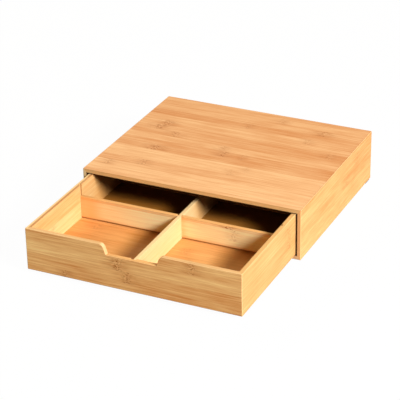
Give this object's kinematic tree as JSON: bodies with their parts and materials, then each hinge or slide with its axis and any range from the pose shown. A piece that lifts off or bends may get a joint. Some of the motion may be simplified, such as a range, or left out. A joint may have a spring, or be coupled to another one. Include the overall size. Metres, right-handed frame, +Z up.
{
  "type": "tea bag drawer box",
  "caption": "Low bamboo cabinet, open at the front, with a drawer that slides out, a finger scoop in its front and lift-out dividers that part it into compartments.",
  "frame": {"origin": "on the table, under the middle of the object's box with the drawer standing open as stored", "axes": "+Z up, +Y from the drawer front towards the cabinet's back, +X to the right seen from the front"},
  "size_m": [0.3, 0.41, 0.07],
  "materials": {
    "cabinet_bamboo": "satin lacquered bamboo, grain across the top and along the sides",
    "drawer_bamboo": "satin lacquered bamboo, grain along each board",
    "divider_bamboo": "satin pale bamboo",
    "floor_bamboo": "satin orange-brown bamboo ply",
    "foot_pad": "matt dark brown anti-slip foam"
  },
  "bodies": {
    "cabinet": {"cabinet_top": "cabinet_bamboo", "cabinet_bottom": "cabinet_bamboo", "cabinet_left_side": "cabinet_bamboo", "cabinet_right_side": "cabinet_bamboo", "cabinet_back": "cabinet_bamboo", "pad_front_left": "foot_pad", "pad_front_right": "foot_pad", "pad_rear_left": "foot_pad", "pad_rear_right": "foot_pad"},
    "drawer": {"drawer_front": "drawer_bamboo", "drawer_left_side": "drawer_bamboo", "drawer_right_side": "drawer_bamboo", "drawer_back": "drawer_bamboo", "drawer_floor": "floor_bamboo"},
    "long_divider": {"lengthwise_divider": "divider_bamboo"},
    "left_divider": {"left_cross_divider": "divider_bamboo"},
    "right_divider": {"right_cross_divider": "divider_bamboo"}
  },
  "joints": [
    {"name": "drawer_slide", "type": "slide", "parent": "cabinet", "child": "drawer", "axis": [0, -1, 0], "range_m": [-0.16, 0.05]},
    {"name": "lengthwise_divider_lift", "type": "slide", "parent": "drawer", "child": "long_divider", "axis": [0, 0, 1], "range_m": [0, 0.0155]},
    {"name": "left_divider_lift", "type": "slide", "parent": "drawer", "child": "left_divider", "axis": [0, 0, 1], "range_m": [0, 0.0155]},
    {"name": "right_divider_lift", "type": "slide", "parent": "drawer", "child": "right_divider", "axis": [0, 0, 1], "range_m": [0, 0.0155]}
  ]
}
